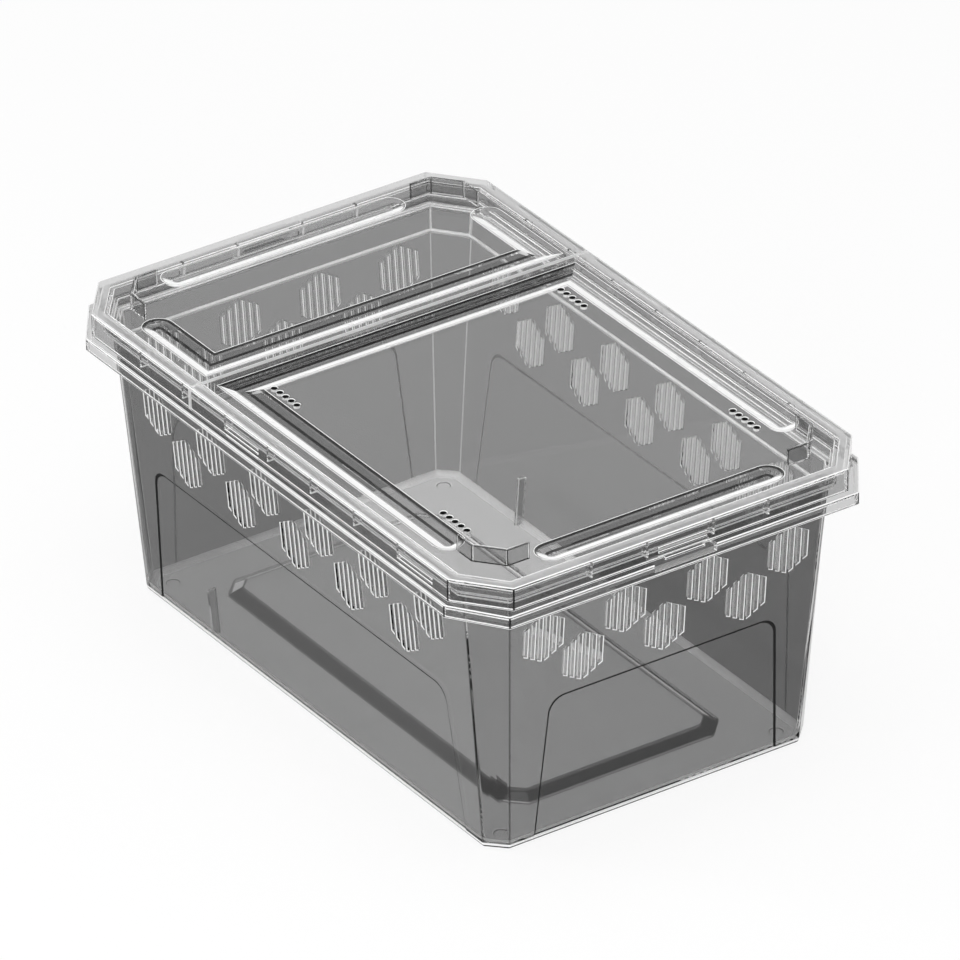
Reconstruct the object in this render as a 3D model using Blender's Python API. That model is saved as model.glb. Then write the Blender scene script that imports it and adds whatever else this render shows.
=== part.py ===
# Clear plastic breeding box for small reptiles: one tub and two lift-off covers.
# Metres, +Z up. The origin is the middle of the underside, and +X points at the large cover's end.
import math

import bmesh
import bpy
from mathutils import Matrix, Vector

# Tub: tapered walls with cut corners, measured on their outer faces
FOOT_LENGTH = 0.2787
FOOT_WIDTH = 0.1672
FOOT_CORNER_CUT = 0.0083
FOOT_FILLET = 0.0025
FLANGE_TOP = 0.1315
FLANGE_THICK = 0.0022
FLARE_END = 0.0114
FLARE_SIDE = 0.0107
FLARE_CORNER_CUT_X = 0.0080
FLARE_CORNER_CUT_Y = 0.0043
WALL = 0.0020

# Floor: a low ring that stands on the ground, round a raised middle
PLATFORM_MARGIN_END = 0.0313
PLATFORM_MARGIN_SIDE = 0.0321
PLATFORM_CORNER_CUT = 0.0060
PLATFORM_RISE = 0.0030
PLATFORM_SLOPE_RUN = 0.0055
FLOOR_THICK = 0.0020
MARK_DIAMETER = 0.0076
MARK_DEPTH = 0.0005
MARK_SETBACK = 0.0121

# Covers: one outline, parted across at the split
COVER_OVERHANG_END = 0.0092
COVER_OVERHANG_SIDE = 0.0097
COVER_CORNER_CUT_X = 0.0225
COVER_CORNER_CUT_Y = 0.0182
REAR_COVER_LENGTH = 0.0998
SPLIT_GAP = 0.0005
SPLIT_RIB_THICK = 0.0018
SPLIT_RIB_END_GAP = 0.0025
SKIRT_DEPTH = 0.0112
SKIRT_THICK = 0.0020
TOP_THICK = 0.0022
SEAT_GAP = 0.0003
INNER_WALL_SETBACK = 0.0055
INNER_WALL_THICK = 0.0016
INNER_WALL_SHORTER = 0.0020
GUSSET_THICK = 0.0012
GUSSET_SHORTER = 0.0017
GUSSET_PITCH = 0.0330
GUSSET_FRONT_INSET = 0.0262
GUSSET_REAR_INSET = 0.0066
GUSSET_CORNER_GAP = 0.0100
GUSSET_END_GAP = 0.0010
GUSSET_END_PITCH = 0.0284

# Lip round the flange, with a finger notch at the middle of each end
LIP_PROUD = 0.0026
LIP_CORNER_CUT_X = 0.0242
LIP_CORNER_CUT_Y = 0.0170
LIP_DEPTH = 0.0061
LIP_THICK = 0.0020
NOTCH_WIDTH = 0.0320
NOTCH_REACH = 0.0070
NOTCH_SILL = 0.0025
RIM_HEIGHT = 0.0048
RIM_THICK = 0.0017
RIM_CLEARANCE = 0.0003

# Grooves pressed into the top of the covers
GROOVE_WIDTH = 0.0125
GROOVE_DEPTH = 0.0035
GROOVE_SIDE_RUN = 0.0016
GROOVE_LEG_SETBACK = 0.0179
GROOVE_TIP_SETBACK = 0.0420
GROOVE_SPLIT_SETBACK = 0.0120
END_GROOVE_SETBACK = 0.0170
END_GROOVE_TIP_SETBACK = 0.0420

# Round air holes in the large cover
AIR_HOLE_DIAMETER = 0.0030
AIR_HOLE_PITCH = 0.0044
AIR_HOLES_IN_ROW = 5
AIR_HOLE_SIDE_SETBACK = 0.0294
AIR_HOLE_SPLIT_SETBACK = 0.0306
AIR_HOLE_END_SETBACK = 0.0600

# Low fences that locate the foot of a box stacked on top
FENCE_CLEARANCE = 0.0035
FENCE_HEIGHT = 0.0077
FENCE_THICK = 0.0012
FENCE_ARM = 0.0110
FENCE_CORNER_CUT_X = 0.0117
FENCE_CORNER_CUT_Y = 0.0098

# Finger grips: short level ridges on the skirts, and a pull tab at each end
GRIP_RIDGE_LENGTH = 0.0250
GRIP_RIDGE_HEIGHT = 0.0010
GRIP_RIDGE_PROUD = 0.0005
GRIP_RIDGE_PITCH = 0.0022
GRIP_RIDGES = 3
GRIP_FIRST_DROP = 0.0049
GRIP_SPLIT_SETBACK = 0.0417
GRIP_END_SETBACK = 0.0460
TAB_WIDTH = 0.0204
TAB_REACH = 0.0023
TAB_THICK = 0.0012

# Vents: six upright slits that fill a hexagon
VENT_SLITS = 6
VENT_SLIT_WIDTH = 0.0018
VENT_SLIT_PITCH = 0.0036
VENT_CELL_WIDTH = 0.0210
VENT_PITCH = 0.0420
VENT_SIDE_MARGIN = 0.0060
VENT_UPPER_DROP = 0.0260
VENT_LOWER_DROP = 0.0427

# Shallow panels pressed into the walls, open at the foot
PANEL_HEIGHT = 0.0697
PANEL_FOOT_MARGIN = 0.0128
PANEL_TOP_MARGIN = 0.0208
PANEL_CORNER_RADIUS = 0.0080
PANEL_DEPTH = 0.0006

# Short guide ribs that hold a divider
GUIDE_SETBACK = 0.0594
GUIDE_THICK = 0.0014
GUIDE_PROUD = 0.0040
GUIDE_HEIGHT = 0.0240

OVERRUN = 0.0010
JOIN_OVERLAP = 0.0004
ROUND_SEGMENTS = 12
ARC_STEPS = 4
FLAT_ANGLE = math.radians(0.02)

# What follows from the sizes above
MOUTH_LENGTH = FOOT_LENGTH + 2 * FLARE_END
MOUTH_WIDTH = FOOT_WIDTH + 2 * FLARE_SIDE
COVER_LENGTH = MOUTH_LENGTH + 2 * COVER_OVERHANG_END
COVER_WIDTH = MOUTH_WIDTH + 2 * COVER_OVERHANG_SIDE
LIP_LENGTH = COVER_LENGTH + 2 * LIP_PROUD
LIP_WIDTH = COVER_WIDTH + 2 * LIP_PROUD
SPLIT_X = REAR_COVER_LENGTH - COVER_LENGTH / 2
FRONT_EDGE = SPLIT_X + SPLIT_GAP / 2
REAR_EDGE = SPLIT_X - SPLIT_GAP / 2
FLANGE_UNDERSIDE = FLANGE_TOP - FLANGE_THICK
LIP_BOTTOM = FLANGE_TOP - LIP_DEPTH
SKIRT_BOTTOM = FLANGE_TOP + SEAT_GAP
COVER_TOP = SKIRT_BOTTOM + SKIRT_DEPTH
TOP_UNDERSIDE = COVER_TOP - TOP_THICK
INNER_WALL_BOTTOM = SKIRT_BOTTOM + INNER_WALL_SHORTER
INNER_WALL_INSIDE = INNER_WALL_SETBACK + INNER_WALL_THICK
RIM_OUTSIDE = INNER_WALL_INSIDE + RIM_CLEARANCE
WALL_RISE = FLANGE_UNDERSIDE - FOOT_FILLET

# An outline is (half length, half width, corner cut along X, corner cut along Y)
FOOT = (FOOT_LENGTH / 2, FOOT_WIDTH / 2, FOOT_CORNER_CUT, FOOT_CORNER_CUT)
MOUTH = (MOUTH_LENGTH / 2, MOUTH_WIDTH / 2,
         FOOT_CORNER_CUT + FLARE_CORNER_CUT_X, FOOT_CORNER_CUT + FLARE_CORNER_CUT_Y)
LIP = (LIP_LENGTH / 2, LIP_WIDTH / 2, LIP_CORNER_CUT_X, LIP_CORNER_CUT_Y)
COVER = (COVER_LENGTH / 2, COVER_WIDTH / 2, COVER_CORNER_CUT_X, COVER_CORNER_CUT_Y)
PLATFORM = (FOOT[0] - PLATFORM_MARGIN_END, FOOT[1] - PLATFORM_MARGIN_SIDE,
            PLATFORM_CORNER_CUT, PLATFORM_CORNER_CUT)


def clear_scene():
    for thing in list(bpy.data.objects):
        bpy.data.objects.remove(thing, do_unlink=True)


def clear_plastic(name, colour):
    material = bpy.data.materials.new(name)
    material.use_nodes = True
    shader = material.node_tree.nodes["Principled BSDF"]
    shader.inputs["Base Color"].default_value = (*colour, 1)
    shader.inputs["Roughness"].default_value = 0.08
    shader.inputs["Metallic"].default_value = 0.0
    shader.inputs["Transmission Weight"].default_value = 0.9
    shader.inputs["IOR"].default_value = 1.49
    return material


def inset(outline, distance):
    """The same cut-corner outline, moved in by a distance on all eight sides."""
    half_x, half_y, cut_x, cut_y = outline
    slant = math.hypot(cut_x, cut_y)
    normal_x = cut_y / slant
    normal_y = cut_x / slant
    new_cut_y = cut_y - distance * (1 - (1 - normal_x) / normal_y)
    new_cut_x = cut_x - distance * (1 - (1 - normal_y) / normal_x)
    return half_x - distance, half_y - distance, new_cut_x, new_cut_y


def blend(low, high, share):
    return tuple(a + (b - a) * share for a, b in zip(low, high))


def wall_outline(z):
    """The walls' outer outline at a height, along their taper."""
    return blend(FOOT, MOUTH, (z - FOOT_FILLET) / WALL_RISE)


def ring(outline):
    half_x, half_y, cut_x, cut_y = outline
    return [
        (half_x, cut_y - half_y), (half_x, half_y - cut_y),
        (half_x - cut_x, half_y), (cut_x - half_x, half_y),
        (-half_x, half_y - cut_y), (-half_x, cut_y - half_y),
        (cut_x - half_x, -half_y), (half_x - cut_x, -half_y),
    ]


def finish_mesh(name, bm):
    bmesh.ops.triangulate(bm, faces=bm.faces[:])
    bmesh.ops.recalc_face_normals(bm, faces=bm.faces[:])
    mesh = bpy.data.meshes.new(name)
    bm.to_mesh(mesh)
    bm.free()
    thing = bpy.data.objects.new(name, mesh)
    bpy.context.collection.objects.link(thing)
    return thing


def add_loft(bm, sections):
    """A closed body through loops of 3-D points, flat-capped at both ends."""
    loops = [[bm.verts.new(point) for point in section] for section in sections]
    for low, high in zip(loops, loops[1:]):
        for i in range(len(low)):
            j = (i + 1) % len(low)
            bm.faces.new((low[i], low[j], high[j], high[i]))
    bm.faces.new(loops[0][::-1])
    bm.faces.new(loops[-1])


def level(points, z):
    return [(x, y, z) for x, y in points]


def loft(name, sections):
    bm = bmesh.new()
    add_loft(bm, sections)
    return finish_mesh(name, bm)


def prism(name, points, low, high):
    return loft(name, [level(points, low), level(points, high)])


def box_points(x0, x1, y0, y1):
    return [(x0, y0), (x1, y0), (x1, y1), (x0, y1)]


def combine(target, tool, operation):
    """Apply one Boolean and drop the tool."""
    modifier = target.modifiers.new("combine", "BOOLEAN")
    modifier.operation = operation
    modifier.solver = "EXACT"
    modifier.object = tool
    graph = bpy.context.evaluated_depsgraph_get()
    result = bpy.data.meshes.new_from_object(target.evaluated_get(graph))
    target.modifiers.clear()
    target.data = result
    bpy.data.objects.remove(tool, do_unlink=True)


def merge_flat_faces(thing):
    """Join the triangles of each flat face, so that later cuts meet few edges."""
    bm = bmesh.new()
    bm.from_mesh(thing.data)
    bmesh.ops.dissolve_limit(bm, angle_limit=FLAT_ANGLE, verts=bm.verts[:], edges=bm.edges[:])
    bm.to_mesh(thing.data)
    bm.free()


def cut(target, tool):
    combine(target, tool, "DIFFERENCE")


def join(target, tool):
    combine(target, tool, "UNION")


def flat_half(kind, z):
    """Half the width of a flat wall at a height, between its cut corners."""
    half_x, half_y, cut_x, cut_y = wall_outline(z)
    return half_x - cut_x if kind == "long" else half_y - cut_y


def wall_frames():
    """Each flat wall's outer face: its name, and axes along it, up its slope and outwards."""
    foot_x, foot_y = FOOT[:2]
    mouth_x, mouth_y = MOUTH[:2]
    frames = []
    for kind, angle, low, high in (
        ("long", -math.pi / 2, foot_y, mouth_y), ("long", math.pi / 2, foot_y, mouth_y),
        ("end", 0, foot_x, mouth_x), ("end", math.pi, foot_x, mouth_x),
    ):
        side = Vector((math.cos(angle), math.sin(angle), 0))
        along = Vector((-math.sin(angle), math.cos(angle), 0))
        up = (side * (high - low) + Vector((0, 0, WALL_RISE))).normalized()
        foot = side * low + Vector((0, 0, FOOT_FILLET))
        frames.append((kind, Matrix((along, up, along.cross(up))).transposed(), foot))
    return frames


def add_wall_prism(bm, axes, foot, points, inner, outer):
    """A prism square to a wall, from points given along the wall and up its slope."""
    sections = [[foot + axes @ Vector((u, v, depth)) for u, v in points] for depth in (inner, outer)]
    add_loft(bm, sections)


def up_slope(axes, z):
    return (z - FOOT_FILLET) / axes[2][1]


def slit_points(centre_u, centre_v, index):
    """One upright slit, its ends cut along the slanting sides of the vent's hexagon."""
    left = (index - (VENT_SLITS - 1) / 2) * VENT_SLIT_PITCH - VENT_SLIT_WIDTH / 2
    right = left + VENT_SLIT_WIDTH
    slant = math.tan(math.radians(30))
    half_height = VENT_CELL_WIDTH / math.sqrt(3)
    left_half = half_height - abs(left) * slant
    right_half = half_height - abs(right) * slant
    return [
        (centre_u + left, centre_v - left_half), (centre_u + right, centre_v - right_half),
        (centre_u + right, centre_v + right_half), (centre_u + left, centre_v + left_half),
    ]


def cut_vents(tub):
    """Two staggered rows of vents on each wall, as many as fit between the corners."""
    upper_z = FLANGE_TOP - VENT_UPPER_DROP
    lower_z = FLANGE_TOP - VENT_LOWER_DROP
    bm = bmesh.new()
    for kind, axes, foot in wall_frames():
        room = 2 * (flat_half(kind, upper_z) - VENT_SIDE_MARGIN) - VENT_CELL_WIDTH
        upper_count = int(room / VENT_PITCH) + 1
        for z, count in ((upper_z, upper_count), (lower_z, upper_count - 1)):
            for vent in range(count):
                u = (vent - (count - 1) / 2) * VENT_PITCH
                for index in range(VENT_SLITS):
                    points = slit_points(u, up_slope(axes, z), index)
                    add_wall_prism(bm, axes, foot, points, -WALL - OVERRUN, OVERRUN)
    cut(tub, finish_mesh("vents", bm))


def panel_points(kind, axes):
    """A trapezoid with rounded upper corners, from just below the foot line."""
    top_z = FOOT_FILLET + PANEL_HEIGHT
    top = up_slope(axes, top_z)
    foot_half = flat_half(kind, FOOT_FILLET) - PANEL_FOOT_MARGIN
    top_half = flat_half(kind, top_z) - PANEL_TOP_MARGIN
    lean = math.atan2(foot_half - top_half, top)
    reach = PANEL_CORNER_RADIUS * math.tan((math.pi / 2 - lean) / 2)
    centre = (top_half - reach, top - PANEL_CORNER_RADIUS)
    right = [(foot_half, -PANEL_DEPTH)]
    for step in range(ARC_STEPS + 1):
        angle = lean + (math.pi / 2 - lean) * step / ARC_STEPS
        right.append((centre[0] + PANEL_CORNER_RADIUS * math.cos(angle),
                      centre[1] + PANEL_CORNER_RADIUS * math.sin(angle)))
    left = [(-u, v) for u, v in reversed(right)]
    return right + left


def cut_panels(tub):
    bm = bmesh.new()
    for kind, axes, foot in wall_frames():
        points = panel_points(kind, axes)
        add_wall_prism(bm, axes, foot, points, -PANEL_DEPTH, OVERRUN)
    cut(tub, finish_mesh("panels", bm))


def add_guides(tub):
    bm = bmesh.new()
    for kind, axes, foot in wall_frames():
        if kind == "long":
            u = (GUIDE_SETBACK - FOOT[0]) * axes[0][0]
            low = up_slope(axes, FLOOR_THICK / 2)
            points = box_points(u - GUIDE_THICK / 2, u + GUIDE_THICK / 2, low, low + GUIDE_HEIGHT)
            add_wall_prism(bm, axes, foot, points, -WALL - GUIDE_PROUD, JOIN_OVERLAP - WALL)
    join(tub, finish_mesh("guides", bm))


def cut_marks(tub):
    """Four shallow round marks in the floor ring, near its corners."""
    bm = bmesh.new()
    for side_x in (-1, 1):
        for side_y in (-1, 1):
            centre = Vector((side_x * (FOOT[0] - MARK_SETBACK), side_y * (FOOT[1] - MARK_SETBACK), 0))
            circle = [centre + Vector((math.cos(a), math.sin(a), 0)) * MARK_DIAMETER / 2
                      for a in (math.tau * i / ROUND_SEGMENTS for i in range(ROUND_SEGMENTS))]
            lift = Vector((0, 0, 1))
            add_loft(bm, [[p + lift * z for p in circle] for z in
                          (FLOOR_THICK - MARK_DEPTH, FLOOR_THICK + OVERRUN)])
    cut(tub, finish_mesh("marks", bm))


def make_tub():
    inner_foot = FLOOR_THICK + FOOT_FILLET
    fillet_share = 1 - math.cos(math.pi / 4)
    slope_foot = inset(PLATFORM, -PLATFORM_SLOPE_RUN)
    rim = inset(COVER, RIM_OUTSIDE)
    steps = [
        (PLATFORM, PLATFORM_RISE),
        (slope_foot, 0),
        (inset(FOOT, FOOT_FILLET), 0),
        (inset(FOOT, FOOT_FILLET * fillet_share), FOOT_FILLET * fillet_share),
        (FOOT, FOOT_FILLET),
        (MOUTH, FLANGE_UNDERSIDE),
        (inset(LIP, LIP_THICK), FLANGE_UNDERSIDE),
        (inset(LIP, LIP_THICK), LIP_BOTTOM),
        (LIP, LIP_BOTTOM),
        (LIP, FLANGE_TOP),
        (rim, FLANGE_TOP),
        (rim, FLANGE_TOP + RIM_HEIGHT),
        (inset(rim, RIM_THICK), FLANGE_TOP + RIM_HEIGHT),
        (inset(rim, RIM_THICK), FLANGE_TOP),
        (inset(wall_outline(FLANGE_TOP), WALL), FLANGE_TOP),
        (inset(wall_outline(inner_foot), WALL), inner_foot),
        (inset(wall_outline(inner_foot), WALL + FOOT_FILLET), FLOOR_THICK),
        (slope_foot, FLOOR_THICK),
        (PLATFORM, PLATFORM_RISE + FLOOR_THICK),
    ]
    tub = loft("tub", [level(ring(outline), z) for outline, z in steps])
    add_guides(tub)
    for side in (-1, 1):
        edges = sorted((side * (LIP[0] - NOTCH_REACH), side * (LIP[0] + OVERRUN)))
        points = box_points(*edges, -NOTCH_WIDTH / 2, NOTCH_WIDTH / 2)
        cut(tub, prism("notch", points, LIP_BOTTOM + NOTCH_SILL, FLANGE_TOP + OVERRUN))
    cut_marks(tub)
    cut_panels(tub)
    merge_flat_faces(tub)
    cut_vents(tub)
    merge_flat_faces(tub)
    return tub


def cover_side(edge_x, end, outline):
    """A cover's outline, open towards the split: from the split round the end and back."""
    half_x, half_y, cut_x, cut_y = outline
    points = [
        (edge_x, -half_y), (end * (half_x - cut_x), -half_y), (end * half_x, cut_y - half_y),
        (end * half_x, half_y - cut_y), (end * (half_x - cut_x), half_y), (edge_x, half_y),
    ]
    return points if end > 0 else points[::-1]


def stroke(path, half_width, round_ends):
    """The outline of a line of one width, mitred at its corners."""
    sides = ([], [])
    path = [Vector(point) for point in path]
    for i, point in enumerate(path):
        before = (point - path[i - 1]).normalized() if i else None
        after = (path[i + 1] - point).normalized() if i + 1 < len(path) else None
        first = before or after
        second = after or before
        middle = (first + second).normalized()
        reach = half_width / middle.dot(first)
        offset = Vector((-middle.y, middle.x)) * reach
        sides[0].append(point + offset)
        sides[1].append(point - offset)
    outline = []
    for flank, end, direction in (
        (sides[1], path[-1], path[-1] - path[-2]),
        (sides[0][::-1], path[0], path[0] - path[1]),
    ):
        outline += [tuple(p) for p in flank]
        if round_ends:
            start = math.atan2(direction.y, direction.x) - math.pi / 2
            for step in range(1, 2 * ARC_STEPS):
                angle = start + math.pi * step / (2 * ARC_STEPS)
                outline.append((end.x + half_width * math.cos(angle), end.y + half_width * math.sin(angle)))
    return outline


def groove(cover, path):
    """Press one groove: a trough that hangs under the top, hollowed from above."""
    half_top = GROOVE_WIDTH / 2
    half_floor = half_top - GROOVE_SIDE_RUN
    floor = COVER_TOP - GROOVE_DEPTH
    side_share = GROOVE_SIDE_RUN / GROOVE_DEPTH
    trough = loft("trough", [
        level(stroke(path, half_floor + TOP_THICK / 2, True), floor - TOP_THICK),
        level(stroke(path, half_top + TOP_THICK / 2, True), COVER_TOP - TOP_THICK / 2),
    ])
    join(cover, trough)
    hollow = loft("hollow", [
        level(stroke(path, half_floor, True), floor),
        level(stroke(path, half_top + OVERRUN * side_share, True), COVER_TOP + OVERRUN),
    ])
    cut(cover, hollow)


def groove_loop(end):
    """Beside the split, and back along both sides of the cover."""
    tip_x = end * (COVER[0] - GROOVE_TIP_SETBACK - GROOVE_WIDTH / 2)
    cross_x = SPLIT_X + end * GROOVE_SPLIT_SETBACK
    leg_y = COVER[1] - GROOVE_LEG_SETBACK
    return [(tip_x, -leg_y), (cross_x, -leg_y), (cross_x, leg_y), (tip_x, leg_y)]


def end_groove(end):
    x = end * (COVER[0] - END_GROOVE_SETBACK)
    tip = COVER[1] - END_GROOVE_TIP_SETBACK - GROOVE_WIDTH / 2
    return [(x, -tip), (x, tip)]


def gusset_places(first_x, end):
    """Along a cover's long sides, from the split towards its cut corners."""
    last_x = COVER[0] - COVER_CORNER_CUT_X - GUSSET_CORNER_GAP
    count = int((last_x - end * first_x) / GUSSET_PITCH) + 1
    return [first_x + end * i * GUSSET_PITCH for i in range(count)]


def add_gussets(cover, end, side_xs):
    """Thin upright plates between the skirt and the inner wall."""
    half_x, half_y = COVER[:2]
    bottom = SKIRT_BOTTOM + GUSSET_SHORTER
    outer = SKIRT_THICK - JOIN_OVERLAP
    inner = INNER_WALL_SETBACK + JOIN_OVERLAP
    half = GUSSET_THICK / 2
    bm = bmesh.new()
    plates = []
    for side in (-1, 1):
        ys = sorted((side * (half_y - outer), side * (half_y - inner)))
        plates += [box_points(x - half, x + half, *ys) for x in side_xs]
        xs = sorted((end * (half_x - outer), end * (half_x - inner)))
        inner_y = NOTCH_WIDTH / 2 + GUSSET_END_GAP
        for y in (inner_y, inner_y + GUSSET_END_PITCH):
            plates.append(box_points(*xs, side * y - half, side * y + half))
    for points in plates:
        add_loft(bm, [level(points, z) for z in (bottom, TOP_UNDERSIDE + JOIN_OVERLAP)])
    join(cover, finish_mesh("gussets", bm))


def add_grips(cover, end, side_xs):
    """Level ridges on the skirt: one set on the end, and pairs of sets on the long sides."""
    half_x, half_y = COVER[:2]
    half = GRIP_RIDGE_LENGTH / 2
    bm = bmesh.new()
    patches = [box_points(*sorted((end * (half_x - JOIN_OVERLAP), end * (half_x + GRIP_RIDGE_PROUD))),
                          -half, half)]
    for side in (-1, 1):
        ys = sorted((side * (half_y - JOIN_OVERLAP), side * (half_y + GRIP_RIDGE_PROUD)))
        patches += [box_points(x - half, x + half, *ys) for x in side_xs]
    for points in patches:
        for index in range(GRIP_RIDGES):
            top = COVER_TOP - GRIP_FIRST_DROP - index * GRIP_RIDGE_PITCH
            add_loft(bm, [level(points, top - GRIP_RIDGE_HEIGHT), level(points, top)])
    join(cover, finish_mesh("grips", bm))


def add_tab(cover, end):
    """A thin pull tab at the foot of the end skirt, over the tub's finger notch."""
    xs = sorted((end * (COVER[0] - JOIN_OVERLAP), end * (COVER[0] + TAB_REACH)))
    points = box_points(*xs, -TAB_WIDTH / 2, TAB_WIDTH / 2)
    join(cover, prism("tab", points, SKIRT_BOTTOM, SKIRT_BOTTOM + TAB_THICK))


def add_fences(cover, end):
    """A low fence round each corner, just outside the foot of a box stacked on top."""
    x = FOOT[0] + FENCE_CLEARANCE
    y = FOOT[1] + FENCE_CLEARANCE
    for side in (-1, 1):
        path = [
            (end * (x - FENCE_CORNER_CUT_X - FENCE_ARM), side * y), (end * (x - FENCE_CORNER_CUT_X), side * y),
            (end * x, side * (y - FENCE_CORNER_CUT_Y)), (end * x, side * (y - FENCE_CORNER_CUT_Y - FENCE_ARM)),
        ]
        points = stroke(path, FENCE_THICK / 2, False)
        join(cover, prism("fence", points, COVER_TOP - JOIN_OVERLAP, COVER_TOP + FENCE_HEIGHT))


def cut_air_holes(cover):
    middles = (SPLIT_X + AIR_HOLE_SPLIT_SETBACK, COVER[0] - AIR_HOLE_END_SETBACK)
    bm = bmesh.new()
    for side in (-1, 1):
        y = side * (COVER[1] - AIR_HOLE_SIDE_SETBACK)
        for middle in middles:
            for index in range(AIR_HOLES_IN_ROW):
                x = middle + (index - (AIR_HOLES_IN_ROW - 1) / 2) * AIR_HOLE_PITCH
                radius = AIR_HOLE_DIAMETER / 2
                turns = [math.tau * i / ROUND_SEGMENTS for i in range(ROUND_SEGMENTS)]
                circle = [(x + radius * math.cos(a), y + radius * math.sin(a)) for a in turns]
                add_loft(bm, [level(circle, z) for z in (TOP_UNDERSIDE - OVERRUN, COVER_TOP + OVERRUN)])
    cut(cover, finish_mesh("air_holes", bm))


def make_cover(name, end, edge_x, gusset_inset, grip_xs):
    """One cover: a shallow cap with a skirt and an inner wall, open towards the split."""
    cover = prism(name, cover_side(edge_x, end, COVER), SKIRT_BOTTOM, COVER_TOP)
    space = cover_side(edge_x - end * OVERRUN, end, inset(COVER, SKIRT_THICK))
    cut(cover, prism("space", space, SKIRT_BOTTOM - OVERRUN, TOP_UNDERSIDE))
    wall_end = edge_x + end * JOIN_OVERLAP
    wall_outside = cover_side(wall_end, end, inset(COVER, INNER_WALL_SETBACK))
    wall_inside = cover_side(wall_end, end, inset(COVER, INNER_WALL_INSIDE))
    band = wall_outside + wall_inside[::-1]
    join(cover, prism("inner_wall", band, INNER_WALL_BOTTOM, TOP_UNDERSIDE + JOIN_OVERLAP))
    rib_half = COVER[1] - RIM_OUTSIDE - RIM_THICK - SPLIT_RIB_END_GAP
    rib_xs = sorted((edge_x, edge_x + end * SPLIT_RIB_THICK))
    rib = box_points(*rib_xs, -rib_half, rib_half)
    join(cover, prism("split_rib", rib, INNER_WALL_BOTTOM, TOP_UNDERSIDE + JOIN_OVERLAP))
    groove(cover, groove_loop(end))
    groove(cover, end_groove(end))
    add_gussets(cover, end, gusset_places(edge_x + end * gusset_inset, end))
    add_grips(cover, end, grip_xs)
    add_tab(cover, end)
    add_fences(cover, end)
    return cover


def build():
    clear_scene()
    tub = make_tub()
    tub.data.materials.append(clear_plastic("clear_tub_plastic", (0.78, 0.79, 0.80)))
    grip_xs = (SPLIT_X + GRIP_SPLIT_SETBACK, COVER[0] - GRIP_END_SETBACK)
    front = make_cover("front_lid", 1, FRONT_EDGE, GUSSET_FRONT_INSET, grip_xs)
    merge_flat_faces(front)
    cut_air_holes(front)
    front.data.materials.append(clear_plastic("clear_front_lid_plastic", (0.82, 0.83, 0.84)))
    rear = make_cover("rear_lid", -1, REAR_EDGE, GUSSET_REAR_INSET, ())
    rear.data.materials.append(clear_plastic("clear_rear_lid_plastic", (0.82, 0.83, 0.84)))


build()
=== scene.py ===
import math

import bmesh
import bpy
from mathutils import Matrix, Vector


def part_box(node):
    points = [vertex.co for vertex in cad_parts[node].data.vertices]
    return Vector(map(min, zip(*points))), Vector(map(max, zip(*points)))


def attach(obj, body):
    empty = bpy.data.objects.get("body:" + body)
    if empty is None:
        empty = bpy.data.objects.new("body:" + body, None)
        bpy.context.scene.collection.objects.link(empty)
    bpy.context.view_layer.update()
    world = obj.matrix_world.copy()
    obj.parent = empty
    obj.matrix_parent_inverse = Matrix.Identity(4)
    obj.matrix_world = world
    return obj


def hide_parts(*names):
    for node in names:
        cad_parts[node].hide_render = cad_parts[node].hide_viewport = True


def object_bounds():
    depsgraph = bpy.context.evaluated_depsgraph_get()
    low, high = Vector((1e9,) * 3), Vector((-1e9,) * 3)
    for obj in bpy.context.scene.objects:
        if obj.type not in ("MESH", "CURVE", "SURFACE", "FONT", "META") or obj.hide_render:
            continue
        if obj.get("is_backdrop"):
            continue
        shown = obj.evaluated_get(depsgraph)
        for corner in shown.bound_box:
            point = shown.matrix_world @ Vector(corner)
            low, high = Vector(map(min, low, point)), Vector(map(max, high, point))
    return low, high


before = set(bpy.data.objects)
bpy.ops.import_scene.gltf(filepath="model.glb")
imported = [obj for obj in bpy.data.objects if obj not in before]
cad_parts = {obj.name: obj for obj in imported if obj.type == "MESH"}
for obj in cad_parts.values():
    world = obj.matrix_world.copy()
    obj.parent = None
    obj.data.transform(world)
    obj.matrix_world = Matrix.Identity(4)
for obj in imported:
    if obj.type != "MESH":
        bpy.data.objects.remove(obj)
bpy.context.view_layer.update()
scene = bpy.context.scene

# Camera
# It stands high in front of the corner between a long side and the large cover's end, far off
# with a long lens, so that upright edges stay upright. It looks a little beside the box's middle.
box_middle = Vector((0, 0, 0.0625))
camera_turn = 0.97980
camera_height_angle = 0.53260
camera_roll = -0.0122
camera_distance = 5.2215
camera_lens = 452.65
sensor_width = 36.0
view_reach = 20.0
aim_right = 0.00427
aim_up = 0.02398

camera_data = bpy.data.cameras.new("camera")
camera_data.sensor_width = sensor_width
camera_data.lens = camera_lens
camera_data.clip_end = view_reach
camera = bpy.data.objects.new("camera", camera_data)
scene.collection.objects.link(camera)
scene.camera = camera
backwards = Vector((
    math.sin(camera_turn) * math.cos(camera_height_angle),
    -math.cos(camera_turn) * math.cos(camera_height_angle),
    math.sin(camera_height_angle),
))
level_right = Vector((math.cos(camera_turn), math.sin(camera_turn), 0))
level_up = backwards.cross(level_right)
picture_right = level_right * math.cos(camera_roll) + level_up * math.sin(camera_roll)
picture_up = backwards.cross(picture_right)
camera.location = box_middle + backwards * camera_distance
aim = box_middle + picture_right * aim_right + picture_up * aim_up
facing = (aim - camera.location).to_track_quat("-Z", "Y")
camera.rotation_mode = "QUATERNION"
camera.rotation_quaternion = facing @ Matrix.Rotation(camera_roll, 3, "Z").to_quaternion()


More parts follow.
